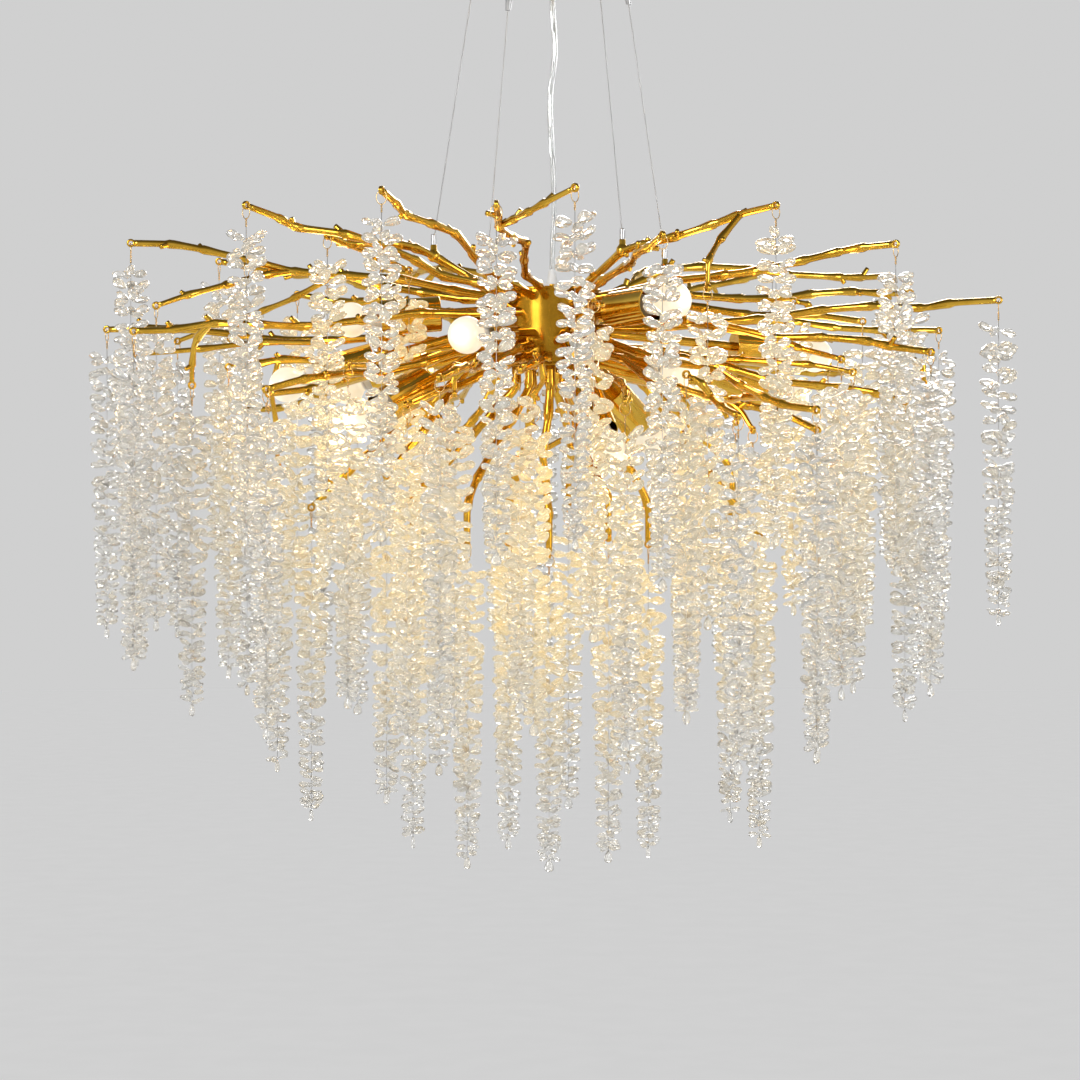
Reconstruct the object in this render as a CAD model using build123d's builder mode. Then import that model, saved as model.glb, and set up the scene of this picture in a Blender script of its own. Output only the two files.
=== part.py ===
from build123d import *

import os
from dataclasses import dataclass, field
from math import atan2, cos, degrees, hypot, inf, pi, radians, sin, tan

os.makedirs("parts", exist_ok=True)

# A round crystal chandelier. Z = 0 is the ceiling, +Z is up, and the hub's axis is the Z axis.
# Angles are in degrees round that axis, from +X towards +Y. The side that faces a viewer is -Y.

# ---------------------------------------------------------------------------
# Driving dimensions, in millimetres
# ---------------------------------------------------------------------------

SEAT_GAP = 0.05  # radial clearance of pieces that sit in each other's holes

# Ceiling bracket and canopy
BRACKET_LENGTH = 200
BRACKET_WIDTH = 40
BRACKET_THICKNESS = 2.5
CEILING_HOLE_SPACING = 100
CEILING_HOLE_RADIUS = 3
STUD_SPACING = 170
STUD_RADIUS = 2.5
CANOPY_RIM = 28  # from the wires' circle out to the canopy's edge
CANOPY_DEPTH = 35
CANOPY_WALL = 1.5
CANOPY_EDGE_RADIUS = 6
CAP_NUT_RADIUS = 6.5
CAP_NUT_HEIGHT = 9
TERMINAL_LENGTH = 36
TERMINAL_WIDTH = 22
TERMINAL_HEIGHT = 16

# Suspension
WIRE_RADIUS = 0.75
WIRE_ANGLES = (30, 120, 210, 300)
WIRE_TOP_RADIUS = 112
GRIPPER_FLANGE_RADIUS = 9
GRIPPER_FLANGE_HEIGHT = 3
GRIPPER_RADIUS = 5
GRIPPER_LENGTH = 20
WIRE_TAIL = 10
HANGER_RADIUS = 172
HANGER_HEIGHT = -402
POST_RADIUS = 4
POST_HEIGHT = 14
FERRULE_RADIUS = 3.4
FERRULE_HEIGHT = 13
FERRULE_FLOOR = 4

# Power cord and its glands
CORD_RADIUS = 3.5
GLAND_RADIUS = 9
GLAND_HEIGHT = 18
GLAND_SHOULDER = 10
GLAND_BACK_HOLE_RADIUS = 2.5

# Hub
HUB_RADIUS = 60
HUB_WALL = 3
HUB_TOP = -437
HUB_HEIGHT = 100
HUB_PLATE_THICKNESS = 4
HUB_PLATE_OVERHANG = 3  # of the top plate
HUB_BOLT_CIRCLE_RADIUS = 52
HUB_BOLT_RADIUS = 2
HUB_BOLT_HEAD_RADIUS = 3.8
HUB_BOLT_HEAD_HEIGHT = 2.6
HUB_BOLT_ANGLES = (25, 150, 270)
FINIAL_RADIUS = 14
FINIAL_HEIGHT = 26
FINIAL_STUD_RADIUS = 4
CONNECTOR_LENGTH = 44
CONNECTOR_WIDTH = 26
CONNECTOR_HEIGHT = 20

# Cast branches
LIMB_RADIUS = 4.8
TWIG_RADIUS = 3.4
BEND_RADIUS = 45  # the most that a corner of a branch is rounded
KINK = 9  # how far a knot stands off the straight line between its rod's ends
SEAM_TURN = 40  # degrees, keeps a rod's seam clear of the twigs that leave it
HANGER_KNOT_RADIUS = 8
STEEP = 0.5  # fall over run from which a limb leaves the hub level, as far as its shoulder
SHOULDER_REACH = 30
DROP_STRAIGHT = 26

# Eyelets at the branch tips
EYELET_RADIUS = 5.2
EYELET_THICKNESS = 5
EYELET_HOLE_RADIUS = 2.5

# Crystal strands
RING_RADIUS = 8
RING_WIRE_RADIUS = 0.6
STEM_RADIUS = 0.9
STRAND_DROP = 32  # from the eyelet's hole to the top crystals
STRAND_LENGTH = 370
CRYSTAL_CLUSTERS = 28
END_CRYSTAL_LENGTH = 16
END_CRYSTAL_RADIUS = 6
STRAND_TOP_RADIUS = 26
STRAND_END_RADIUS = 15
CRYSTAL_DEPTH = 5.5  # how deep the waist between two clusters is

# Lamps
ARM_RADIUS = 6
ARM_BORE_RADIUS = 4
CUP_RADIUS = 22.5
CUP_LENGTH = 77
CUP_WALL = 1.2
CUP_FLOOR = 2
HOLDER_RADIUS = 13.5
HOLDER_STEM_RADIUS = 7
HOLDER_STEM_LENGTH = 32
HOLDER_REACH = 11  # how far the holder stands out of its cup
SOCKET_DEPTH = 27
BULB_CAP_RADIUS = 7
BULB_CAP_LENGTH = 22
BULB_CONTACT_RADIUS = 4
BULB_CONTACT_LENGTH = 2.5
BULB_CAP_GAP = 0.3  # radial clearance of the cap in its socket
BULB_SEAT_GAP = 0.6
GLOBE_RADIUS = 22.5
GLOBE_NECK_RADIUS = 9
GLOBE_THROAT_RADIUS = 13
GLOBE_THROAT_LENGTH = 8

# Strands with no name that hang nearer the hub's axis than this are one group
INNER_GROUP_RADIUS = 330

# Heights on the hub where the branches and lamp arms leave it
ROW_1 = -450
ROW_2 = -468
ROW_3 = -488
ROW_4 = -508
ROW_5 = -524


# ---------------------------------------------------------------------------
# Layout of the branches, strands and lamps
# ---------------------------------------------------------------------------


@dataclass
class Tip:
    """A branch tip's eyelet. A strand with a name of its own is a node of its own."""

    x: float
    y: float
    z: float
    strand: str = ""


@dataclass
class Fork:
    """A twig that leaves its limb at one of the limb's knots, counted from the hub."""

    knot: int
    tip: Tip


@dataclass
class Limb:
    """A branch from the hub's side out to a tip. A hanger also carries a suspension wire."""

    angle: float
    height: float
    tip: Tip
    forks: list = field(default_factory=list)
    side: int = 1  # the side to which its first knot stands off
    hanger: bool = False


@dataclass
class Drop:
    """A branch from under the hub's base plate, at a distance from the hub's axis."""

    angle: float
    radius: float
    tip: Tip
    forks: list = field(default_factory=list)
    side: int = 1


LIMBS = {
    "branches_left": [
        Limb(189, ROW_1, Tip(-526, -105, -388, "strand_01"), [Fork(2, Tip(-488, -150, -470))], side=-1),
        Limb(165, ROW_1, Tip(-440, 100, -390), [Fork(2, Tip(-505, 175, -490))]),
        Limb(165, ROW_4, Tip(-578, 35, -485, "strand_02"), [Fork(1, Tip(-533, -8, -520))], side=-1),
        Limb(155, ROW_2, Tip(-340, 140, -430)),
        Limb(180, ROW_4, Tip(-416, 0, -536), [Fork(3, Tip(-359, 60, -661))], side=-1),
        Limb(198, ROW_4, Tip(-356, -85, -575)),
        Limb(182, ROW_5, Tip(-308, -20, -717)),
    ],
    "branches_front_left": [
        Limb(213, ROW_2, Tip(-273, -205, -390), [Fork(3, Tip(-180, -85, -420))], side=-1, hanger=True),
        Limb(225, ROW_1, Tip(-360, -310, -366, "strand_03")),
        Limb(228, ROW_2, Tip(-495, -290, -512), [Fork(3, Tip(-437, -205, -571))], side=-1),
        Limb(234, ROW_4, Tip(-329, -385, -586, "strand_04"), [Fork(2, Tip(-240, -320, -555))], side=-1),
        Limb(245, ROW_1, Tip(-196, -400, -360, "strand_05")),
        Limb(214, ROW_4, Tip(-203, -175, -680)),
        Limb(244, ROW_5, Tip(-172, -300, -600), side=-1),
    ],
    "branches_front": [
        Limb(253, ROW_4, Tip(-129, -420, -575), [Fork(3, Tip(-115, -330, -588))], side=-1),
        Limb(262, ROW_1, Tip(-64, -480, -386, "strand_06"), [Fork(3, Tip(23, -500, -370, "strand_07"))]),
        Limb(267, ROW_5, Tip(-39, -330, -560), [Fork(2, Tip(-23, -160, -598))]),
        Limb(275, ROW_4, Tip(47, -330, -477), side=-1),
        Limb(289, ROW_2, Tip(122, -445, -416, "strand_08")),
        Limb(302, ROW_3, Tip(82, -380, -600), side=-1),
    ],
    "branches_front_right": [
        Limb(297, ROW_4, Tip(206, -460, -620), [Fork(3, Tip(152, -385, -569))], side=-1),
        Limb(297, ROW_1, Tip(262, -300, -365, "strand_09"), [Fork(3, Tip(181, -310, -463))], hanger=True),
        Limb(313, ROW_3, Tip(298, -415, -611), [Fork(3, Tip(164, -165, -581))]),
        Limb(321, ROW_2, Tip(439, -335, -540, "strand_10"), [Fork(1, Tip(339, -300, -546))], side=-1),
        Limb(336, ROW_4, Tip(325, -160, -624), [Fork(2, Tip(245, -170, -624))], side=-1),
        Limb(332, ROW_1, Tip(414, -215, -401, "strand_11"), side=-1),
    ],
    "branches_right": [
        Limb(346, ROW_3, Tip(549, -150, -463, "strand_12")),
        Limb(347, ROW_1, Tip(397, -20, -479), [Fork(3, Tip(308, -30, -454))], side=-1),
        Limb(350, ROW_4, Tip(441, -95, -585), [Fork(1, Tip(375, -105, -549))], side=-1),
        Limb(-1, ROW_1, Tip(466, 40, -437), side=-1),
        Limb(21, ROW_2, Tip(526, 195, -474, "strand_13"), [Fork(3, Tip(497, 135, -549))]),
        Limb(358, ROW_5, Tip(267, 5, -754), [Fork(1, Tip(235, 85, -730))], side=-1),
    ],
    "branches_rear_right": [
        Limb(26, ROW_1, Tip(465, 245, -395, "strand_14"), side=-1, hanger=True),
        Limb(31, ROW_4, Tip(377, 210, -519), [Fork(2, Tip(248, 165, -600))], side=-1),
        Limb(39, ROW_5, Tip(432, 380, -519)),
        Limb(46, ROW_3, Tip(312, 335, -371, "strand_15")),
        Limb(65, ROW_4, Tip(250, 470, -550), [Fork(2, Tip(192, 330, -589))]),
    ],
    "branches_rear": [
        Limb(68, ROW_3, Tip(153, 405, -367), [Fork(2, Tip(60, 330, -470))], side=-1),
        Limb(89, ROW_1, Tip(33, 480, -380, "strand_16")),
        Limb(94, ROW_2, Tip(-82, 430, -373), [Fork(2, Tip(-75, 320, -501))], side=-1),
        Limb(89, ROW_4, Tip(-10, 540, -540)),
        Limb(112, ROW_3, Tip(-160, 490, -560)),
    ],
    "branches_rear_left": [
        Limb(
            126,
            ROW_2,
            Tip(-241, 405, -370, "strand_17"),
            [Fork(2, Tip(-180, 310, -460))],
            side=-1,
            hanger=True,
        ),
        Limb(139, ROW_4, Tip(-315, 330, -385), side=-1),
        Limb(125, ROW_4, Tip(-328, 410, -542)),
        Limb(
            149,
            ROW_5,
            Tip(-427, 325, -576),
            [Fork(2, Tip(-276, 200, -582)), Fork(2, Tip(-269, 280, -600))],
        ),
        Limb(149, ROW_1, Tip(-420, 250, -380, "strand_18")),
        Limb(137, ROW_5, Tip(-151, 155, -674)),
    ],
}

# Branches that leave the hub downwards
DROPS = {
    "branches_left": [Drop(185, 46, Tip(-178, -18, -752))],
    "branches_front_left": [Drop(228, 42, Tip(-106, -120, -766))],
    "branches_front": [Drop(266, 38, Tip(-4, -60, -777)), Drop(290, 46, Tip(69, -139, -756))],
    "branches_right": [Drop(-8, 46, Tip(123, -21, -764))],
    "branches_rear_right": [Drop(40, 46, Tip(100, 100, -667))],
    "branches_rear": [Drop(82, 34, Tip(23, 183, -721), [Fork(2, Tip(-60, 147, -651))])],
    "branches_rear_left": [Drop(130, 40, Tip(-57, 60, -762))],
}

# Each lamp: the angle and height of its arm on the hub, then the middle of its bulb
LAMPS = [
    (181, -462, (-257, -19, -477)),
    (192, -480, (-337, -40, -561)),
    (223, -493, (-229, -250, -613)),
    (245, -496, (-103, -255, -514)),
    (285, -517, (70, -180, -653)),
    (303, -474, (146, -199, -468)),
    (320, -525, (159, -130, -555)),
    (17, -512, (314, 70, -572)),
    (16, -490, (348, 100, -514)),
    (53, -519, (136, 175, -621)),
    (95, -481, (-22, 254, -485)),
    (166, -484, (-268, 72, -558)),
]

# The cord's route, from the shoulder in the canopy's gland to the one in the hub's
CORD_BENDS = [
    (2.5, 1, -104),
    (4, 0, -139),
    (-3, -1, -180),
    (-2.5, 0, -226),
    (1.5, 1, -280),
    (3, 0, -338),
]
CORD_STRAIGHT = 26


# ---------------------------------------------------------------------------
# Helpers
# ---------------------------------------------------------------------------


def polar(radius, angle, height=0):
    """A point at a distance from the hub's axis."""
    return Vector(radius * cos(radians(angle)), radius * sin(radians(angle)), height)


def flat(point):
    """The same place on a level sketch."""
    return Vector(point.X, point.Y)


def at_tip(tip):
    return Vector(tip.x, tip.y, tip.z)


def kinked(start, end, shares, side):
    """Points from start to end, with knots at these shares that stand off to alternate sides."""
    run = end - start
    across = Vector(-run.Y, run.X, 0)
    across = across.normalized() if across.length > 1 else Vector(1, 0, 0)
    points = [start]
    for i, share in enumerate(shares):
        sign = side if i % 2 else -side
        points.append(start + run * share + across * (sign * KINK) + Vector(0, 0, sign * KINK / 2))
    return points + [end]


def limb_route(limb):
    """The knots of a limb, from inside the hub's wall to its tip."""
    start = polar(HUB_RADIUS - 2 * HUB_WALL, limb.angle, limb.height)
    end = at_tip(limb.tip)
    if limb.hanger:
        wire_angle = min(WIRE_ANGLES, key=lambda angle: abs(angle - limb.angle))
        hanger = polar(HANGER_RADIUS, wire_angle, HANGER_HEIGHT)
        return [start] + kinked(hanger, end, (0.4, 0.75), limb.side)
    if start.Z - end.Z > STEEP * hypot(end.X - start.X, end.Y - start.Y):
        shoulder = polar(HUB_RADIUS + SHOULDER_REACH, limb.angle, limb.height)
        return [start] + kinked(shoulder, end, (0.35, 0.7), limb.side)
    return kinked(start, end, (0.3, 0.58, 0.82), limb.side)


def drop_route(drop):
    """The knots of a branch that hangs from under the hub's base plate."""
    start = polar(drop.radius, drop.angle, HUB_TOP - HUB_HEIGHT)
    below = start - Vector(0, 0, DROP_STRAIGHT)
    end = at_tip(drop.tip)
    above = Vector(end.X, end.Y, end.Z + 2 * DROP_STRAIGHT)
    return [start] + kinked(below, above, (0.5,), drop.side) + [end]


def fork_route(limb_points, fork, side):
    """The knots of a twig, which comes down on its tip where the way there is steep."""
    start = limb_points[fork.knot]
    end = at_tip(fork.tip)
    fall = start.Z - end.Z
    if fall > hypot(end.X - start.X, end.Y - start.Y):
        end_above = Vector(end.X, end.Y, end.Z + fall / 3)
        return kinked(start, end_above, (0.5,), side) + [end]
    return kinked(start, end, (0.5,), side)


def heading(points):
    """The level direction in which a branch comes to its tip, as an angle."""
    last = points[-1] - points[-2]
    if hypot(last.X, last.Y) < 1:
        return degrees(atan2(points[-1].Y, points[-1].X))
    return degrees(atan2(last.Y, last.X))


def bend_radii(points, most=inf):
    """For each inner point, the arc radius that uses 0.45 of its shorter run, up to a limit."""
    radii = []
    for before, here, after in zip(points, points[1:], points[2:]):
        turn = radians((here - before).get_angle(after - here))
        shorter = min((here - before).length, (after - here).length)
        radii.append(min(most, 0.45 * shorter / tan(turn / 2)))
    return radii


def rod(points, radius):
    """A round rod along the points, with bent corners."""
    with BuildLine() as path:
        FilletPolyline(*points, radius=bend_radii(points, BEND_RADIUS))
    start = Plane(origin=points[0], z_dir=points[1] - points[0])
    with BuildSketch(start.rotated((0, 0, SEAM_TURN))) as section:
        Circle(radius)
    return sweep(section.sketch, path=path.wire(), mode=Mode.PRIVATE)


def eyelet_plane(points):
    """A plane at the tip whose normal is the eyelet's hole, level and across the branch."""
    side = radians(heading(points) + 90)
    return Plane(origin=points[-1], z_dir=(cos(side), sin(side), 0))


def write(part, name):
    part.label = name
    export_step(part, f"parts/{name}.step")


# ---------------------------------------------------------------------------
# Ceiling bracket and canopy
# ---------------------------------------------------------------------------

CANOPY_FLOOR = -CANOPY_DEPTH
STUD_END = CANOPY_FLOOR - CAP_NUT_HEIGHT + 2 * CANOPY_WALL

with BuildPart() as ceiling_bracket:
    with BuildSketch():
        SlotOverall(BRACKET_LENGTH, BRACKET_WIDTH)
        with GridLocations(CEILING_HOLE_SPACING, 0, 2, 1):
            Circle(CEILING_HOLE_RADIUS, mode=Mode.SUBTRACT)
    extrude(amount=-BRACKET_THICKNESS)
    with BuildSketch(Plane.XY.offset(-BRACKET_THICKNESS)):
        with GridLocations(STUD_SPACING, 0, 2, 1):
            Circle(STUD_RADIUS)
    extrude(amount=STUD_END + BRACKET_THICKNESS)
write(ceiling_bracket.part, "ceiling_bracket")

with BuildPart() as canopy_cover:
    with BuildSketch(Plane.XY.offset(CANOPY_FLOOR)):
        Circle(WIRE_TOP_RADIUS + CANOPY_RIM)
    extrude(amount=CANOPY_DEPTH)
    fillet(canopy_cover.edges().sort_by(Axis.Z)[0], CANOPY_EDGE_RADIUS)
    offset(amount=-CANOPY_WALL, openings=canopy_cover.faces().sort_by(Axis.Z)[-1])
    with BuildSketch(Plane.XY.offset(CANOPY_FLOOR)):
        with GridLocations(STUD_SPACING, 0, 2, 1):
            Circle(STUD_RADIUS + SEAT_GAP)
        for angle in WIRE_ANGLES:
            with Locations(polar(WIRE_TOP_RADIUS, angle)):
                Circle(GRIPPER_RADIUS)
        Circle(GLAND_RADIUS - CANOPY_WALL)
    extrude(amount=2 * CANOPY_WALL, mode=Mode.SUBTRACT)
write(canopy_cover.part, "canopy_cover")

with BuildPart() as canopy_nuts:
    with BuildSketch(Plane.XY.offset(CANOPY_FLOOR)):
        with GridLocations(STUD_SPACING, 0, 2, 1):
            RegularPolygon(CAP_NUT_RADIUS, 6)
    extrude(amount=-CAP_NUT_HEIGHT)
    fillet(canopy_nuts.edges().group_by(Axis.Z)[0], CAP_NUT_RADIUS / 4)
    with BuildSketch(Plane.XY.offset(CANOPY_FLOOR)):
        with GridLocations(STUD_SPACING, 0, 2, 1):
            Circle(STUD_RADIUS + SEAT_GAP)
    extrude(amount=STUD_END - CANOPY_FLOOR - SEAT_GAP, mode=Mode.SUBTRACT)
write(canopy_nuts.part, "canopy_nuts")

with BuildPart() as canopy_terminal_block:
    with BuildSketch(Plane.XY.offset(-BRACKET_THICKNESS)):
        RectangleRounded(TERMINAL_LENGTH, TERMINAL_WIDTH, 2)
    extrude(amount=-TERMINAL_HEIGHT)
    with BuildSketch(Plane.XY.offset(-BRACKET_THICKNESS - TERMINAL_HEIGHT)):
        with GridLocations(TERMINAL_LENGTH / 3, TERMINAL_WIDTH / 2, 3, 2):
            Circle(TERMINAL_WIDTH / 10)
    extrude(amount=TERMINAL_HEIGHT / 2, mode=Mode.SUBTRACT)
write(canopy_terminal_block.part, "canopy_terminal_block")


# ---------------------------------------------------------------------------
# Suspension wires, straight from their grippers down to posts on the branches
# ---------------------------------------------------------------------------

POST_TOP = HANGER_HEIGHT + POST_HEIGHT
WIRE_BOTTOM = POST_TOP + FERRULE_FLOOR
GRIPPER_BOTTOM = CANOPY_FLOOR - GRIPPER_FLANGE_HEIGHT - GRIPPER_LENGTH
WIRE_LEAN = (HANGER_RADIUS - WIRE_TOP_RADIUS) / (CANOPY_FLOOR - WIRE_BOTTOM)


def wire_point(angle, height):
    """Where a wire's middle is at this height."""
    return polar(HANGER_RADIUS - WIRE_LEAN * (height - WIRE_BOTTOM), angle, height)


def wire_plane(angle):
    """A plane at a wire's lower end, square to the wire."""
    low = wire_point(angle, WIRE_BOTTOM)
    return Plane(origin=low, z_dir=wire_point(angle, CANOPY_FLOOR + WIRE_TAIL) - low)


WIRE_LENGTH = (wire_point(0, CANOPY_FLOOR + WIRE_TAIL) - wire_point(0, WIRE_BOTTOM)).length
WIRE_BORE_RADIUS = WIRE_RADIUS + SEAT_GAP

with BuildPart() as suspension_wires:
    for angle in WIRE_ANGLES:
        with Locations(wire_plane(angle)):
            Cylinder(WIRE_RADIUS, WIRE_LENGTH, align=(Align.CENTER, Align.CENTER, Align.MIN))
write(suspension_wires.part, "suspension_wires")

with BuildPart() as wire_grippers:
    for angle in WIRE_ANGLES:
        with BuildSketch(Plane.XY.offset(CANOPY_FLOOR)):
            with Locations(polar(WIRE_TOP_RADIUS, angle)):
                Circle(GRIPPER_FLANGE_RADIUS)
        extrude(amount=-GRIPPER_FLANGE_HEIGHT)
        with BuildSketch(Plane.XY.offset(CANOPY_FLOOR - GRIPPER_FLANGE_HEIGHT)):
            with Locations(flat(wire_point(angle, CANOPY_FLOOR))):
                Circle(GRIPPER_RADIUS)
        with BuildSketch(Plane.XY.offset(GRIPPER_BOTTOM)):
            with Locations(flat(wire_point(angle, GRIPPER_BOTTOM))):
                Circle(GRIPPER_RADIUS * 0.7)
        loft()
        with Locations(wire_plane(angle)):
            Cylinder(
                WIRE_BORE_RADIUS,
                WIRE_LENGTH,
                align=(Align.CENTER, Align.CENTER, Align.MIN),
                mode=Mode.SUBTRACT,
            )
write(wire_grippers.part, "wire_grippers")

with BuildPart() as wire_anchors:
    for angle in WIRE_ANGLES:
        with Locations(polar(HANGER_RADIUS, angle, POST_TOP)):
            Cylinder(
                FERRULE_RADIUS,
                FERRULE_HEIGHT,
                align=(Align.CENTER, Align.CENTER, Align.MIN),
            )
    chamfer(wire_anchors.faces().filter_by(Axis.Z).group_by(Axis.Z)[-1].edges(), FERRULE_RADIUS / 4)
    for angle in WIRE_ANGLES:
        with Locations(wire_plane(angle)):
            Cylinder(
                WIRE_BORE_RADIUS,
                WIRE_LENGTH,
                align=(Align.CENTER, Align.CENTER, Align.MIN),
                mode=Mode.SUBTRACT,
            )
write(wire_anchors.part, "wire_anchors")


# ---------------------------------------------------------------------------
# Power cord and the glands at its ends
# ---------------------------------------------------------------------------


# The gland is made with its mouth up, and has a shoulder inside for the cord's end.
with BuildPart() as gland:
    with BuildSketch():
        RegularPolygon(GLAND_RADIUS, 6)
    extrude(amount=GLAND_HEIGHT / 2)
    with BuildSketch(Plane.XY.offset(GLAND_HEIGHT / 2)):
        Circle(GLAND_RADIUS * 0.82)
    extrude(amount=GLAND_HEIGHT / 2, taper=12)
    with BuildSketch():
        Circle(GLAND_BACK_HOLE_RADIUS)
    extrude(amount=GLAND_HEIGHT, mode=Mode.SUBTRACT)
    with BuildSketch(Plane.XY.offset(GLAND_HEIGHT - GLAND_SHOULDER)):
        Circle(CORD_RADIUS + SEAT_GAP)
    extrude(amount=GLAND_SHOULDER, mode=Mode.SUBTRACT)
upside_down = Location(Plane(origin=(0, 0, CANOPY_FLOOR), z_dir=(0, 0, -1)))
write(gland.part.moved(upside_down), "cord_gland_top")
write(gland.part.moved(Location((0, 0, HUB_TOP))), "cord_gland_hub")

CORD_TOP = CANOPY_FLOOR - GLAND_HEIGHT + GLAND_SHOULDER
CORD_BOTTOM = HUB_TOP + GLAND_HEIGHT - GLAND_SHOULDER
cord_points = [
    Vector(0, 0, CORD_TOP),
    Vector(0, 0, CORD_TOP - CORD_STRAIGHT),
    *[Vector(bend) for bend in CORD_BENDS],
    Vector(0, 0, CORD_BOTTOM + 1.5 * CORD_STRAIGHT),
    Vector(0, 0, CORD_BOTTOM),
]


cord_radii = bend_radii(cord_points)

with BuildPart() as power_cord:
    with BuildLine() as cord_path:
        FilletPolyline(*cord_points, radius=cord_radii)
    with BuildSketch(Plane(origin=cord_points[0], z_dir=(0, 0, -1))):
        Circle(CORD_RADIUS)
    sweep(path=cord_path.wire())
write(power_cord.part, "power_cord")

cord_length = cord_path.wire().length
print("cord radii:", [round(radius) for radius in cord_radii])
print("cord length:", round(cord_length, 1))
cord_tube_volume = pi * CORD_RADIUS**2 * cord_length
print("cord volume over section times length:", round(power_cord.part.volume / cord_tube_volume, 4))


# ---------------------------------------------------------------------------
# Hub
# ---------------------------------------------------------------------------

HUB_BASE = HUB_TOP - HUB_HEIGHT
SHELL_HEIGHT = HUB_HEIGHT - 2 * HUB_PLATE_THICKNESS


def lamp_plane(lamp):
    """A plane where a lamp's arm leaves the hub, whose normal runs along the lamp."""
    angle, height, bulb_middle = lamp
    root = polar(HUB_RADIUS, angle, height)
    return Plane(origin=root, z_dir=Vector(bulb_middle) - root)


with BuildPart() as hub_shell:
    with BuildSketch(Plane.XY.offset(HUB_BASE + HUB_PLATE_THICKNESS)):
        Circle(HUB_RADIUS)
        Circle(HUB_RADIUS - HUB_WALL, mode=Mode.SUBTRACT)
    extrude(amount=SHELL_HEIGHT)
    for lamp in LAMPS:
        with Locations(lamp_plane(lamp)):
            Cylinder(ARM_BORE_RADIUS, 6 * HUB_WALL, mode=Mode.SUBTRACT)
write(hub_shell.part, "hub_shell")

with BuildPart() as hub_top_plate:
    with BuildSketch(Plane.XY.offset(HUB_TOP)):
        Circle(HUB_RADIUS + HUB_PLATE_OVERHANG)
        Circle(GLAND_BACK_HOLE_RADIUS, mode=Mode.SUBTRACT)
        for angle in HUB_BOLT_ANGLES:
            with Locations(polar(HUB_BOLT_CIRCLE_RADIUS, angle)):
                Circle(HUB_BOLT_RADIUS + SEAT_GAP, mode=Mode.SUBTRACT)
    extrude(amount=-HUB_PLATE_THICKNESS)
    chamfer(hub_top_plate.edges().filter_by(GeomType.CIRCLE).sort_by(SortBy.RADIUS)[-2:], 1)
write(hub_top_plate.part, "hub_top_plate")

with BuildPart() as hub_base_plate:
    with BuildSketch(Plane.XY.offset(HUB_BASE)):
        Circle(HUB_RADIUS)
        Circle(FINIAL_STUD_RADIUS + SEAT_GAP, mode=Mode.SUBTRACT)
        for angle in HUB_BOLT_ANGLES:
            with Locations(polar(HUB_BOLT_CIRCLE_RADIUS, angle)):
                Circle(HUB_BOLT_RADIUS + SEAT_GAP, mode=Mode.SUBTRACT)
    extrude(amount=HUB_PLATE_THICKNESS)
    chamfer(hub_base_plate.edges().filter_by(GeomType.CIRCLE).sort_by(SortBy.RADIUS)[-2:], 1)
write(hub_base_plate.part, "hub_base_plate")

with BuildPart() as hub_bolts:
    for angle in HUB_BOLT_ANGLES:
        with Locations(polar(HUB_BOLT_CIRCLE_RADIUS, angle, HUB_TOP)):
            Cylinder(
                HUB_BOLT_HEAD_RADIUS,
                HUB_BOLT_HEAD_HEIGHT,
                align=(Align.CENTER, Align.CENTER, Align.MIN),
            )
            Cylinder(
                HUB_BOLT_RADIUS,
                HUB_HEIGHT,
                align=(Align.CENTER, Align.CENTER, Align.MAX),
            )
write(hub_bolts.part, "hub_bolts")

with BuildPart() as hub_finial:
    with BuildSketch(Plane.XZ):
        with BuildLine():
            Polyline(
                (0, HUB_BASE + HUB_PLATE_THICKNESS),
                (FINIAL_STUD_RADIUS, HUB_BASE + HUB_PLATE_THICKNESS),
                (FINIAL_STUD_RADIUS, HUB_BASE),
                (FINIAL_RADIUS, HUB_BASE),
                (FINIAL_RADIUS, HUB_BASE - FINIAL_HEIGHT / 4),
            )
            Spline(
                (FINIAL_RADIUS, HUB_BASE - FINIAL_HEIGHT / 4),
                (FINIAL_RADIUS * 0.72, HUB_BASE - FINIAL_HEIGHT * 0.7),
                (0, HUB_BASE - FINIAL_HEIGHT),
            )
            Line((0, HUB_BASE - FINIAL_HEIGHT), (0, HUB_BASE + HUB_PLATE_THICKNESS))
        make_face()
    revolve(axis=Axis.Z)
write(hub_finial.part, "hub_finial")

with BuildPart() as hub_connector:
    with BuildSketch(Plane.XY.offset(HUB_BASE + HUB_PLATE_THICKNESS)):
        RectangleRounded(CONNECTOR_LENGTH, CONNECTOR_WIDTH, 2)
    extrude(amount=CONNECTOR_HEIGHT)
    with BuildSketch(Plane.XY.offset(HUB_BASE + HUB_PLATE_THICKNESS + CONNECTOR_HEIGHT)):
        with GridLocations(CONNECTOR_LENGTH / 4, CONNECTOR_WIDTH / 2, 4, 2):
            Circle(CONNECTOR_WIDTH / 12)
    extrude(amount=-CONNECTOR_HEIGHT / 2, mode=Mode.SUBTRACT)
write(hub_connector.part, "hub_connector")


# ---------------------------------------------------------------------------
# Branches, with an eyelet on each tip
# ---------------------------------------------------------------------------


with BuildPart() as eyelet_disc:
    Cylinder(EYELET_RADIUS, EYELET_THICKNESS)

with BuildPart() as eyelet_hole:
    Cylinder(EYELET_HOLE_RADIUS, 3 * EYELET_THICKNESS)

with BuildPart() as wire_post:
    Sphere(HANGER_KNOT_RADIUS)
    Cylinder(POST_RADIUS, POST_HEIGHT, align=(Align.CENTER, Align.CENTER, Align.MIN))

with BuildPart() as hub_space:
    with Locations((0, 0, HUB_TOP)):
        Cylinder(HUB_RADIUS, HUB_HEIGHT, align=(Align.CENTER, Align.CENTER, Align.MAX))


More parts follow.
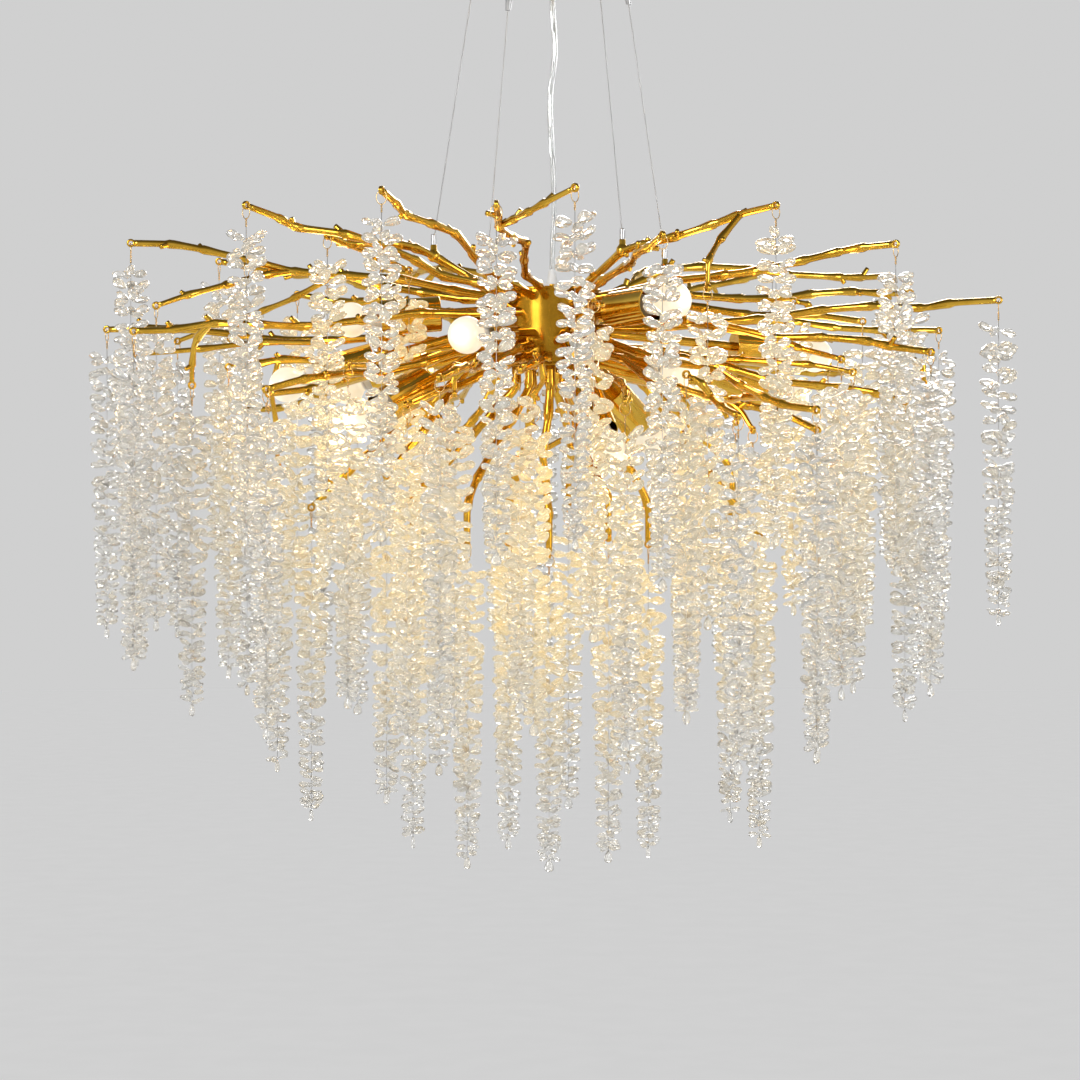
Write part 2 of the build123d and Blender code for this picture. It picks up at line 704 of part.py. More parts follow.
def branch_part(limb, points):
    """One limb or drop with its twigs, eyelets and wire post, cut to sit on the hub."""
    twigs = [fork_route(points, fork, limb.side) for fork in limb.forks]
    ends = [Location(eyelet_plane(end)) for end in [points] + twigs]
    solids = [rod(points, LIMB_RADIUS)] + [rod(twig, TWIG_RADIUS) for twig in twigs]
    solids += [eyelet_disc.part.moved(end) for end in ends]
    holes = [eyelet_hole.part.moved(end) for end in ends]
    if isinstance(limb, Limb) and limb.hanger:
        solids.append(wire_post.part.moved(Location(points[1])))
    if points[0].Z > HUB_BASE:
        holes.append(hub_space.part)
    with BuildPart() as branch:
        add(solids)
        add(holes, mode=Mode.SUBTRACT)
    for tip, end in zip([limb.tip] + [fork.tip for fork in limb.forks], [points] + twigs):
        hung.append((tip, heading(end)))
    return branch.part


hung = []  # each tip, with the angle of the branch that comes to it
for node, limbs in LIMBS.items():
    solids = []
    for limb in limbs:
        solids += branch_part(limb, limb_route(limb)).solids()
    for drop in DROPS.get(node, []):
        solids += branch_part(drop, drop_route(drop)).solids()
    write(Compound(children=solids), node)


# ---------------------------------------------------------------------------
# Lamps, each made along +Z from where its arm leaves the hub
# ---------------------------------------------------------------------------

HOLDER_FRONT = CUP_LENGTH + HOLDER_REACH
THROAT_TO_MIDDLE = (GLOBE_RADIUS**2 - GLOBE_THROAT_RADIUS**2) ** 0.5
BULB_MIDDLE = HOLDER_FRONT + BULB_SEAT_GAP + GLOBE_THROAT_LENGTH + THROAT_TO_MIDDLE

with BuildPart() as cup:
    with BuildSketch():
        Circle(CUP_RADIUS)
        Circle(ARM_BORE_RADIUS, mode=Mode.SUBTRACT)
    extrude(amount=CUP_FLOOR)
    with BuildSketch(Plane.XY.offset(CUP_FLOOR)):
        Circle(CUP_RADIUS)
        Circle(CUP_RADIUS - CUP_WALL, mode=Mode.SUBTRACT)
    extrude(amount=CUP_LENGTH - CUP_FLOOR)
    fillet(cup.edges().group_by(Axis.Z)[0].sort_by(SortBy.RADIUS)[-1], CUP_FLOOR)

with BuildPart() as holder:
    with BuildSketch(Plane.XZ):
        with BuildLine():
            Polyline(
                (0, CUP_FLOOR),
                (HOLDER_STEM_RADIUS, CUP_FLOOR),
                (HOLDER_STEM_RADIUS, HOLDER_STEM_LENGTH),
                (HOLDER_RADIUS, HOLDER_STEM_LENGTH),
                (HOLDER_RADIUS, HOLDER_FRONT),
                (BULB_CAP_RADIUS + BULB_CAP_GAP, HOLDER_FRONT),
                (BULB_CAP_RADIUS + BULB_CAP_GAP, HOLDER_FRONT - SOCKET_DEPTH),
                (0, HOLDER_FRONT - SOCKET_DEPTH),
                close=True,
            )
        make_face()
    revolve(axis=Axis.Z)

with BuildPart() as bulb_cap:
    with Locations((0, 0, HOLDER_FRONT + BULB_SEAT_GAP)):
        Cylinder(
            BULB_CAP_RADIUS,
            BULB_CAP_LENGTH,
            align=(Align.CENTER, Align.CENTER, Align.MAX),
        )
    with Locations((0, 0, HOLDER_FRONT + BULB_SEAT_GAP - BULB_CAP_LENGTH)):
        Cylinder(
            BULB_CONTACT_RADIUS,
            BULB_CONTACT_LENGTH,
            align=(Align.CENTER, Align.CENTER, Align.MAX),
        )

with BuildPart() as bulb_globe:
    with BuildSketch(Plane.XZ):
        with BuildLine():
            throat = (GLOBE_THROAT_RADIUS, BULB_MIDDLE - THROAT_TO_MIDDLE)
            Polyline(
                (0, BULB_MIDDLE + GLOBE_RADIUS),
                (0, HOLDER_FRONT + BULB_SEAT_GAP),
                (GLOBE_NECK_RADIUS, HOLDER_FRONT + BULB_SEAT_GAP),
                throat,
            )
            ThreePointArc(throat, (GLOBE_RADIUS, BULB_MIDDLE), (0, BULB_MIDDLE + GLOBE_RADIUS))
        make_face()
    revolve(axis=Axis.Z)

arms = []
cups = []
holders = []
for number, lamp in enumerate(LAMPS, start=1):
    arm_plane = lamp_plane(lamp)
    bulb_distance = (Vector(lamp[2]) - arm_plane.origin).length
    arm_length = bulb_distance - BULB_MIDDLE
    with BuildPart() as lamp_arm:
        with Locations(arm_plane.offset(arm_length)):
            Cylinder(
                ARM_RADIUS,
                arm_length + 2 * HUB_WALL,
                align=(Align.CENTER, Align.CENTER, Align.MAX),
            )
            Cylinder(
                ARM_BORE_RADIUS,
                arm_length + 2 * HUB_WALL,
                align=(Align.CENTER, Align.CENTER, Align.MAX),
                mode=Mode.SUBTRACT,
            )
        with Locations((0, 0, HUB_TOP)):
            Cylinder(
                HUB_RADIUS,
                HUB_HEIGHT,
                align=(Align.CENTER, Align.CENTER, Align.MAX),
                mode=Mode.SUBTRACT,
            )
    cup_place = Location(arm_plane.offset(arm_length))
    arms += lamp_arm.part.solids()
    cups.append(cup.part.moved(cup_place).solid())
    holders.append(holder.part.moved(cup_place).solid())
    bulb = Compound(
        children=[
            bulb_globe.part.moved(cup_place).solid(),
            bulb_cap.part.moved(cup_place).solid(),
        ]
    )
    write(bulb, f"bulb_{number:02d}")

write(Compound(children=arms), "lamp_arms")
write(Compound(children=cups), "lamp_cups")
write(Compound(children=holders), "lamp_holders")


# ---------------------------------------------------------------------------
# Crystal strands: a wire ring and stem, and the string of crystal clusters
# ---------------------------------------------------------------------------

CRYSTAL_PITCH = (STRAND_LENGTH - END_CRYSTAL_LENGTH) / CRYSTAL_CLUSTERS

with BuildPart() as strand_wire:
    with Locations(Plane(origin=(0, 0, -RING_RADIUS), z_dir=(1, 0, 0))):
        Torus(RING_RADIUS, RING_WIRE_RADIUS)
    with Locations((0, 0, -2 * RING_RADIUS)):
        Cylinder(
            STEM_RADIUS,
            STRAND_DROP - 2 * RING_RADIUS,
            align=(Align.CENTER, Align.CENTER, Align.MAX),
        )

with BuildPart() as crystal_string:
    with BuildSketch(Plane.XZ):
        with BuildLine():
            outline = [(0, -STRAND_DROP), (STRAND_TOP_RADIUS - CRYSTAL_DEPTH, -STRAND_DROP)]
            for i in range(CRYSTAL_CLUSTERS):
                share = i / CRYSTAL_CLUSTERS
                reach = STRAND_TOP_RADIUS + (STRAND_END_RADIUS - STRAND_TOP_RADIUS) * share
                top = -STRAND_DROP - i * CRYSTAL_PITCH
                outline.append((reach, top - 0.4 * CRYSTAL_PITCH))
                outline.append((reach - CRYSTAL_DEPTH, top - CRYSTAL_PITCH))
            strand_end = -STRAND_DROP - STRAND_LENGTH
            outline.append((END_CRYSTAL_RADIUS, strand_end + 0.4 * END_CRYSTAL_LENGTH))
            outline.append((0, strand_end))
            Polyline(*outline, close=True)
        make_face()
    revolve(axis=Axis.Z)


def strand_node(tip):
    """A strand with no node of its own goes with those round it."""
    if tip.strand:
        return tip.strand
    if hypot(tip.x, tip.y) < INNER_GROUP_RADIUS:
        return "strands_inner"
    return "strands_front" if tip.y < 0 else "strands_rear"


strand_solids = {}
for tip, angle in hung:
    place = Location((tip.x, tip.y, tip.z), (0, 0, angle))
    pieces = strand_solids.setdefault(strand_node(tip), [])
    pieces.append(strand_wire.part.moved(place).solid())
    pieces.append(crystal_string.part.moved(place).solid())
for node, solids in strand_solids.items():
    write(Compound(children=solids), node)
print("strands:", len(hung))
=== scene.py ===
import math
from dataclasses import dataclass, field

import bpy
import numpy as np
from mathutils import Matrix, Vector


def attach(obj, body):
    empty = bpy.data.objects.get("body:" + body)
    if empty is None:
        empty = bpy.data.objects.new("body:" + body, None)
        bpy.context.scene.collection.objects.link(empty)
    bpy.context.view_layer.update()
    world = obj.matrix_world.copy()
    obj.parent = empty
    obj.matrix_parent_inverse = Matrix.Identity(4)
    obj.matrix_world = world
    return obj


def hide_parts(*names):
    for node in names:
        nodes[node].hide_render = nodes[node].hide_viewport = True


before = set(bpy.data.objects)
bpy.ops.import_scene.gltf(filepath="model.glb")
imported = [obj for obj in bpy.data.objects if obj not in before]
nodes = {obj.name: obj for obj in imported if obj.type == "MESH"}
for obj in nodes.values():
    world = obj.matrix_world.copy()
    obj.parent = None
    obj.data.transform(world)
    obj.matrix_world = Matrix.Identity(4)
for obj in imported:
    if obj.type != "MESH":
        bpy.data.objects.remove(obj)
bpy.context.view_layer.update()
rng = np.random.RandomState(7)
UP = np.array([0, 0, 1.0])

# The layout repeats the part's source, in millimetres. Z = 0 is the ceiling and the hub's axis is
# the Z axis. Meshes are made in millimetres too and scaled to metres at the end.
ROW_1 = -450
ROW_2 = -468
ROW_3 = -488
ROW_4 = -508
ROW_5 = -524
HUB_RADIUS = 60
HUB_WALL = 3
HUB_BASE = -537
WIRE_ANGLES = (30, 120, 210, 300)
HANGER_RADIUS = 172
HANGER_HEIGHT = -402
KINK = 9  # how far a knot stands off the straight line between its rod's ends
STEEP = 0.5  # fall over run from which a limb leaves the hub level, as far as its shoulder
SHOULDER_REACH = 30
DROP_STRAIGHT = 26
INNER_GROUP_RADIUS = 330  # strands with no name that hang nearer the axis are one group


@dataclass
class Tip:
    x: float
    y: float
    z: float
    strand: str = ""


@dataclass
class Fork:
    knot: int
    tip: Tip


@dataclass
class Limb:
    angle: float
    height: float
    tip: Tip
    forks: list = field(default_factory=list)
    side: int = 1
    hanger: bool = False


@dataclass
class Drop:
    angle: float
    radius: float
    tip: Tip
    forks: list = field(default_factory=list)
    side: int = 1


LIMBS = {
    "branches_left": [
        Limb(189, ROW_1, Tip(-526, -105, -388, "strand_01"), [Fork(2, Tip(-488, -150, -470))], side=-1),
        Limb(165, ROW_1, Tip(-440, 100, -390), [Fork(2, Tip(-505, 175, -490))]),
        Limb(165, ROW_4, Tip(-578, 35, -485, "strand_02"), [Fork(1, Tip(-533, -8, -520))], side=-1),
        Limb(155, ROW_2, Tip(-340, 140, -430)),
        Limb(180, ROW_4, Tip(-416, 0, -536), [Fork(3, Tip(-359, 60, -661))], side=-1),
        Limb(198, ROW_4, Tip(-356, -85, -575)),
        Limb(182, ROW_5, Tip(-308, -20, -717)),
    ],
    "branches_front_left": [
        Limb(213, ROW_2, Tip(-273, -205, -390), [Fork(3, Tip(-180, -85, -420))], side=-1, hanger=True),
        Limb(225, ROW_1, Tip(-360, -310, -366, "strand_03")),
        Limb(228, ROW_2, Tip(-495, -290, -512), [Fork(3, Tip(-437, -205, -571))], side=-1),
        Limb(234, ROW_4, Tip(-329, -385, -586, "strand_04"), [Fork(2, Tip(-240, -320, -555))], side=-1),
        Limb(245, ROW_1, Tip(-196, -400, -360, "strand_05")),
        Limb(214, ROW_4, Tip(-203, -175, -680)),
        Limb(244, ROW_5, Tip(-172, -300, -600), side=-1),
    ],
    "branches_front": [
        Limb(253, ROW_4, Tip(-129, -420, -575), [Fork(3, Tip(-115, -330, -588))], side=-1),
        Limb(262, ROW_1, Tip(-64, -480, -386, "strand_06"), [Fork(3, Tip(23, -500, -370, "strand_07"))]),
        Limb(267, ROW_5, Tip(-39, -330, -560), [Fork(2, Tip(-23, -160, -598))]),
        Limb(275, ROW_4, Tip(47, -330, -477), side=-1),
        Limb(289, ROW_2, Tip(122, -445, -416, "strand_08")),
        Limb(302, ROW_3, Tip(82, -380, -600), side=-1),
    ],
    "branches_front_right": [
        Limb(297, ROW_4, Tip(206, -460, -620), [Fork(3, Tip(152, -385, -569))], side=-1),
        Limb(297, ROW_1, Tip(262, -300, -365, "strand_09"), [Fork(3, Tip(181, -310, -463))], hanger=True),
        Limb(313, ROW_3, Tip(298, -415, -611), [Fork(3, Tip(164, -165, -581))]),
        Limb(321, ROW_2, Tip(439, -335, -540, "strand_10"), [Fork(1, Tip(339, -300, -546))], side=-1),
        Limb(336, ROW_4, Tip(325, -160, -624), [Fork(2, Tip(245, -170, -624))], side=-1),
        Limb(332, ROW_1, Tip(414, -215, -401, "strand_11"), side=-1),
    ],
    "branches_right": [
        Limb(346, ROW_3, Tip(549, -150, -463, "strand_12")),
        Limb(347, ROW_1, Tip(397, -20, -479), [Fork(3, Tip(308, -30, -454))], side=-1),
        Limb(350, ROW_4, Tip(441, -95, -585), [Fork(1, Tip(375, -105, -549))], side=-1),
        Limb(-1, ROW_1, Tip(466, 40, -437), side=-1),
        Limb(21, ROW_2, Tip(526, 195, -474, "strand_13"), [Fork(3, Tip(497, 135, -549))]),
        Limb(358, ROW_5, Tip(267, 5, -754), [Fork(1, Tip(235, 85, -730))], side=-1),
    ],
    "branches_rear_right": [
        Limb(26, ROW_1, Tip(465, 245, -395, "strand_14"), side=-1, hanger=True),
        Limb(31, ROW_4, Tip(377, 210, -519), [Fork(2, Tip(248, 165, -600))], side=-1),
        Limb(39, ROW_5, Tip(432, 380, -519)),
        Limb(46, ROW_3, Tip(312, 335, -371, "strand_15")),
        Limb(65, ROW_4, Tip(250, 470, -550), [Fork(2, Tip(192, 330, -589))]),
    ],
    "branches_rear": [
        Limb(68, ROW_3, Tip(153, 405, -367), [Fork(2, Tip(60, 330, -470))], side=-1),
        Limb(89, ROW_1, Tip(33, 480, -380, "strand_16")),
        Limb(94, ROW_2, Tip(-82, 430, -373), [Fork(2, Tip(-75, 320, -501))], side=-1),
        Limb(89, ROW_4, Tip(-10, 540, -540)),
        Limb(112, ROW_3, Tip(-160, 490, -560)),
    ],
    "branches_rear_left": [
        Limb(
            126,
            ROW_2,
            Tip(-241, 405, -370, "strand_17"),
            [Fork(2, Tip(-180, 310, -460))],
            side=-1,
            hanger=True,
        ),
        Limb(139, ROW_4, Tip(-315, 330, -385), side=-1),
        Limb(125, ROW_4, Tip(-328, 410, -542)),
        Limb(
            149,
            ROW_5,
            Tip(-427, 325, -576),
            [Fork(2, Tip(-276, 200, -582)), Fork(2, Tip(-269, 280, -600))],
        ),
        Limb(149, ROW_1, Tip(-420, 250, -380, "strand_18")),
        Limb(137, ROW_5, Tip(-151, 155, -674)),
    ],
}

# Branches that leave the hub downwards
DROPS = {
    "branches_left": [Drop(185, 46, Tip(-178, -18, -752))],
    "branches_front_left": [Drop(228, 42, Tip(-106, -120, -766))],
    "branches_front": [Drop(266, 38, Tip(-4, -60, -777)), Drop(290, 46, Tip(69, -139, -756))],
    "branches_right": [Drop(-8, 46, Tip(123, -21, -764))],
    "branches_rear_right": [Drop(40, 46, Tip(100, 100, -667))],
    "branches_rear": [Drop(82, 34, Tip(23, 183, -721), [Fork(2, Tip(-60, 147, -651))])],
    "branches_rear_left": [Drop(130, 40, Tip(-57, 60, -762))],
}

# Each lamp: the angle and height of its arm on the hub, then the middle of its bulb
LAMPS = [
    (181, -462, (-257, -19, -477)),
    (192, -480, (-337, -40, -561)),
    (223, -493, (-229, -250, -613)),
    (245, -496, (-103, -255, -514)),
    (285, -517, (70, -180, -653)),
    (303, -474, (146, -199, -468)),
    (320, -525, (159, -130, -555)),
    (17, -512, (314, 70, -572)),
    (16, -490, (348, 100, -514)),
    (53, -519, (136, 175, -621)),
    (95, -481, (-22, 254, -485)),
    (166, -484, (-268, 72, -558)),
]


# ---------------------------------------------------------------------------
# Routes of the branches
# ---------------------------------------------------------------------------

LONG_RUN = 62  # a longer run gets one more slight bend
SMALL_BEND = (2.2, 4.2)  # the least and the most that such a bend stands off its run


def polar(radius, angle, height):
    """A point at a distance from the hub's axis."""
    return Vector((radius * math.cos(math.radians(angle)), radius * math.sin(math.radians(angle)), height))


def at_tip(tip):
    return Vector((tip.x, tip.y, tip.z))


def kinked(start, end, shares, side):
    """Points from start to end, with knots at these shares that stand off to alternate sides."""
    run = end - start
    across = Vector((-run.y, run.x, 0))
    across = across.normalized() if across.length > 1 else Vector((1, 0, 0))
    points = [start]
    for i, share in enumerate(shares):
        sign = side if i % 2 else -side
        points.append(start + run * share + across * (sign * KINK) + Vector((0, 0, sign * KINK / 2)))
    return points + [end]


def limb_route(limb):
    """The knots of a limb, from inside the hub's wall to its tip."""
    start = polar(HUB_RADIUS - 2 * HUB_WALL, limb.angle, limb.height)
    end = at_tip(limb.tip)
    if limb.hanger:
        wire_angle = min(WIRE_ANGLES, key=lambda angle: abs(angle - limb.angle))
        hanger = polar(HANGER_RADIUS, wire_angle, HANGER_HEIGHT)
        return [start] + kinked(hanger, end, (0.4, 0.75), limb.side)
    if start.z - end.z > STEEP * math.hypot(end.x - start.x, end.y - start.y):
        shoulder = polar(HUB_RADIUS + SHOULDER_REACH, limb.angle, limb.height)
        return [start] + kinked(shoulder, end, (0.35, 0.7), limb.side)
    return kinked(start, end, (0.3, 0.58, 0.82), limb.side)


def drop_route(drop):
    """The knots of a branch that hangs from under the hub's base plate."""
    start = polar(drop.radius, drop.angle, HUB_BASE)
    below = start - Vector((0, 0, DROP_STRAIGHT))
    end = at_tip(drop.tip)
    above = end + Vector((0, 0, 2 * DROP_STRAIGHT))
    return [start] + kinked(below, above, (0.5,), drop.side) + [end]


def fork_route(limb_points, fork, side):
    """The knots of a twig, which comes down on its tip where the way there is steep."""
    start = limb_points[fork.knot]
    end = at_tip(fork.tip)
    fall = start.z - end.z
    if fall > math.hypot(end.x - start.x, end.y - start.y):
        return kinked(start, end + Vector((0, 0, fall / 3)), (0.5,), side) + [end]
    return kinked(start, end, (0.5,), side)


def heading(points):
    """The level angle at which a branch comes to its tip."""
    last = points[-1] - points[-2]
    if math.hypot(last.x, last.y) < 1:
        return math.atan2(points[-1].y, points[-1].x)
    return math.atan2(last.y, last.x)


def shortened(points, end=3.6):
    """The route up to the near side of the tip's eye."""
    last = points[-1] - points[-2]
    return list(points[:-1]) + [points[-1] - last.normalized() * end]


def with_small_bends(points):
    """The route with one more slight knot on each long run, a few millimetres off it."""
    bent = [points[0]]
    for a, b in zip(points, points[1:]):
        run = b - a
        if run.length > LONG_RUN:
            aside = Vector(rng.normal(0, 1, 3)).cross(run).normalized()
            bent.append(a + run * rng.uniform(0.4, 0.6) + aside * rng.uniform(*SMALL_BEND))
        bent.append(b)
    return bent


def rounded(points, cut=14, step=5):
    """Points along a route with its knots rounded and small bends added, and where its knots are."""
    points = with_small_bends(points)
    line = [np.array(points[0])]
    knots = []
    for before, here, after in zip(points, points[1:], points[2:]):
        before, here, after = np.array(before), np.array(here), np.array(after)
        to_here, to_after = here - before, after - here
        reach = min(cut, 0.42 * np.linalg.norm(to_here), 0.42 * np.linalg.norm(to_after))
        a = here - to_here / np.linalg.norm(to_here) * reach
        b = here + to_after / np.linalg.norm(to_after) * reach
        knots.append(here)
        line += [(1 - t) ** 2 * a + 2 * t * (1 - t) * here + t**2 * b for t in np.linspace(0, 1, 6)]
    line.append(np.array(points[-1]))
    dense = [line[0]]
    for a, b in zip(line, line[1:]):
        count = max(1, int(np.linalg.norm(b - a) / step))
        dense += [a + (b - a) * k / count for k in range(1, count + 1)]
    dense = np.array(dense)
    at_knots = [int(np.argmin(np.linalg.norm(dense - knot, axis=1))) for knot in knots]
    return dense, at_knots


# ---------------------------------------------------------------------------
# Mesh building
# ---------------------------------------------------------------------------


class Form:
    """Vertices and faces gathered in millimetres, each face with a material number."""

    def __init__(self):
        self.vertices = []
        self.faces = []
        self.slots = []
        self.count = 0

    def add(self, vertices, faces, slot=0):
        self.vertices.append(np.asarray(vertices, float))
        self.faces += [tuple(int(i) + self.count for i in face) for face in faces]
        self.slots += [slot] * len(faces)
        self.count += len(vertices)

    def piece(self, name, materials, body, slot, replaced=None):
        """A smooth piece that rides on a body and may stand for a node. Its slot argument is not used."""
        mesh = bpy.data.meshes.new(name)
        mesh.from_pydata((np.concatenate(self.vertices) / 1000).tolist(), [], self.faces)
        mesh.polygons.foreach_set("material_index", self.slots)
        mesh.polygons.foreach_set("use_smooth", [True] * len(self.faces))
        mesh.update()
        for finish in materials:
            mesh.materials.append(finish)
        piece = bpy.data.objects.new(name, mesh)
        bpy.context.scene.collection.objects.link(piece)
        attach(piece, body)
        if replaced:
            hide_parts(replaced)
        return piece


def circle_points(count):
    """Angles of points spaced evenly round a circle."""
    return np.linspace(0, 2 * math.pi, count, endpoint=False)


def ring_faces(rings, sides, first=0, closed=False):
    """Faces between rings of vertices numbered one after another. A closed form joins its ends."""
    faces = []
    for i in range(rings if closed else rings - 1):
        a = first + i * sides
        b = first + (i + 1) % rings * sides
        for k in range(sides):
            n = (k + 1) % sides
            faces.append((a + k, a + n, b + n, b + k))
    return faces


def cap_faces(point, first, sides, outward):
    """Faces from a point to a ring, wound one way at a form's start and the other at its end."""
    if outward:
        return [(point, first + k, first + (k + 1) % sides) for k in range(sides)]
    return [(point, first + (k + 1) % sides, first + k) for k in range(sides)]


def frames_along(line):
    """Two directions across a line at each of its points, with no twist from one to the next."""
    tangents = np.gradient(line, axis=0)
    tangents /= np.linalg.norm(tangents, axis=1)[:, None]
    guess = UP if abs(tangents[0][2]) < 0.9 else np.array([1.0, 0, 0])
    normals = []
    for tangent in tangents:
        guess = guess - tangent * guess.dot(tangent)
        guess = guess / np.linalg.norm(guess)
        normals.append(guess)
    normals = np.array(normals)
    return tangents, normals, np.cross(tangents, normals)


def rings_round(line, first, second, reach):
    """Rings of vertices round the points of a line, in the plane of two directions at each."""
    turn = circle_points(reach.shape[1])
    ring = first[:, None] * np.cos(turn)[None, :, None] + second[:, None] * np.sin(turn)[None, :, None]
    return (line[:, None] + ring * reach[..., None]).reshape(-1, 3)


def tube(form, line, radii, sides=10, slot=0, profile=1):
    """A closed tube along a line. The profile gives a factor on the radius for each ring and side."""
    line = np.asarray(line, float)
    _, first, second = frames_along(line)
    reach = np.broadcast_to(np.asarray(radii, float), (len(line),))[:, None] * np.ones(sides) * profile
    vertices = np.concatenate([rings_round(line, first, second, reach), line[:1], line[-1:]])
    start, end = len(vertices) - 2, len(vertices) - 1
    faces = ring_faces(len(line), sides)
    faces += cap_faces(start, 0, sides, False)
    faces += cap_faces(end, (len(line) - 1) * sides, sides, True)
    form.add(vertices, faces, slot)


def lathe(form, profile, place, sides=32, slot=0):
    """A form turned about the local Z axis from (radius, height) points, then placed."""
    turn = circle_points(sides)
    ring = np.stack([np.cos(turn), np.sin(turn)], 1)
    vertices = np.concatenate(
        [np.column_stack([ring * radius, np.full(sides, height)]) for radius, height in profile]
    )
    turned = vertices @ np.array(place.to_3x3()).T + np.array(place.translation)
    form.add(turned, ring_faces(len(profile), sides), slot)


def ring_line(centre, first, second, reach_first, reach_second, count):
    """A closed loop of points in the plane of two directions."""
    turn = circle_points(count)
    return (
        np.asarray(centre, float)
        + np.outer(np.cos(turn) * reach_first, first)
        + np.outer(np.sin(turn) * reach_second, second)
    )


def loop_tube(form, line, radius, sides, slot=0):
    """A tube round a closed loop of points."""
    tangents = np.roll(line, -1, axis=0) - np.roll(line, 1, axis=0)
    tangents /= np.linalg.norm(tangents, axis=1)[:, None]
    outward = line - line.mean(axis=0)
    outward -= tangents * (outward * tangents).sum(axis=1)[:, None]
    outward /= np.linalg.norm(outward, axis=1)[:, None]
    reach = np.full((len(line), sides), float(radius))
    vertices = rings_round(line, outward, np.cross(tangents, outward), reach)
    form.add(vertices, ring_faces(len(line), sides, closed=True), slot)


# ---------------------------------------------------------------------------
# Materials
# ---------------------------------------------------------------------------


def material(name, colour, roughness, metallic=0.0, settings=None):
    """A new material, its nodes and its shader. The settings are more of the shader's values."""
    made = bpy.data.materials.new(name)
    made.use_nodes = True
    shader = made.node_tree.nodes["Principled BSDF"]
    shader.inputs["Base Color"].default_value = (*colour, 1)
    shader.inputs["Roughness"].default_value = roughness
    shader.inputs["Metallic"].default_value = metallic
    for socket, value in (settings or {}).items():
        shader.inputs[socket].default_value = value
    return made, made.node_tree, shader


def noise(tree, scale, detail=3, stretch=(1, 1, 1)):
    """Noise in object space, in which one unit is a metre."""
    coordinates = tree.nodes.new("ShaderNodeTexCoord")
    mapping = tree.nodes.new("ShaderNodeMapping")
    mapping.inputs["Scale"].default_value = stretch
    texture = tree.nodes.new("ShaderNodeTexNoise")
    texture.inputs["Scale"].default_value = scale
    texture.inputs["Detail"].default_value = detail
    tree.links.new(coordinates.outputs["Object"], mapping.inputs["Vector"])
    tree.links.new(mapping.outputs["Vector"], texture.inputs["Vector"])
    return texture.outputs["Fac"]


def ramp(tree, value, *stops):
    """A colour ramp from (position, colour) stops."""
    node = tree.nodes.new("ShaderNodeValToRGB")
    elements = node.color_ramp.elements
    while len(elements) < len(stops):
        elements.new(0.5)
    for element, (position, colour) in zip(elements, stops):
        element.position = position
        element.color = (*colour, 1)
    tree.links.new(value, node.inputs["Fac"])
    return node.outputs["Color"]


def blended(tree, factor, first, second, blend="MIX"):
    """Two colours mixed. Each, and the factor, is a value or a node's output."""
    node = tree.nodes.new("ShaderNodeMix")
    node.data_type = "RGBA"
    node.blend_type = blend
    givens = ((node.inputs["Factor"], factor), (node.inputs[6], first), (node.inputs[7], second))
    for socket, given in givens:
        if isinstance(given, bpy.types.NodeSocket):
            tree.links.new(given, socket)
        else:
            socket.default_value = given
    return node.outputs[2]


def bump(tree, shader, height, distance, strength):
    node = tree.nodes.new("ShaderNodeBump")
    node.inputs["Distance"].default_value = distance
    node.inputs["Strength"].default_value = strength
    tree.links.new(height, node.inputs["Height"])
    tree.links.new(node.outputs["Normal"], shader.inputs["Normal"])


def grey(value):
    return (value, value, value)


def gold_material(name, low, high, rough_low, rough_high, bump_distance):
    """Plated metal whose colour, gloss and surface vary a little."""
    made, tree, shader = material(name, high, rough_low, 1.0)
    tint = ramp(tree, noise(tree, 26, 4), (0.3, low), (0.62, high))
    tree.links.new(tint, shader.inputs["Base Color"])
    grain = noise(tree, 90, 5)
    rough = ramp(tree, grain, (0.3, grey(rough_low)), (0.7, grey(rough_high)))
    tree.links.new(rough, shader.inputs["Roughness"])
    bump(tree, shader, grain, bump_distance, 0.6)
    return made


def gold_wire_material():
    made, tree, shader = material("gold_wire", (0.80, 0.55, 0.22), 0.25, 1.0)
    tint = ramp(tree, noise(tree, 400), (0.3, (0.66, 0.42, 0.15)), (0.7, (0.88, 0.64, 0.30)))
    tree.links.new(tint, shader.inputs["Base Color"])
    return made


def steel_material(name, low, high, rough, scale, stretch=(1, 1, 1)):
    """Brushed metal. A stretch over 1 makes its grain finer along that axis."""
    made, tree, shader = material(name, grey(high), rough, 1.0)
    grain = noise(tree, scale, 4, stretch)
    tree.links.new(ramp(tree, grain, (0.3, grey(low)), (0.7, grey(high))), shader.inputs["Base Color"])
    bump(tree, shader, grain, 0.0002, 0.5)
    return made


def twisted_steel_material():
    """The suspension wire: fine strands that wind round it."""
    made, tree, shader = material("twisted_steel", grey(0.5), 0.34, 1.0)
    coordinates = tree.nodes.new("ShaderNodeTexCoord")
    wave = tree.nodes.new("ShaderNodeTexWave")
    wave.bands_direction = "DIAGONAL"
    wave.inputs["Scale"].default_value = 260
    wave.inputs["Distortion"].default_value = 1.5
    tree.links.new(coordinates.outputs["Object"], wave.inputs["Vector"])
    tint = ramp(tree, wave.outputs["Fac"], (0.2, grey(0.34)), (0.8, grey(0.62)))
    tree.links.new(tint, shader.inputs["Base Color"])
    bump(tree, shader, wave.outputs["Fac"], 0.0003, 0.7)
    return made


def plastic_material(name, low, high, rough):
    made, tree, shader = material(name, high, rough)
    tree.links.new(ramp(tree, noise(tree, 60, 4), (0.3, low), (0.7, high)), shader.inputs["Base Color"])
    bump(tree, shader, noise(tree, 900, 2), 0.0001, 0.35)
    return made


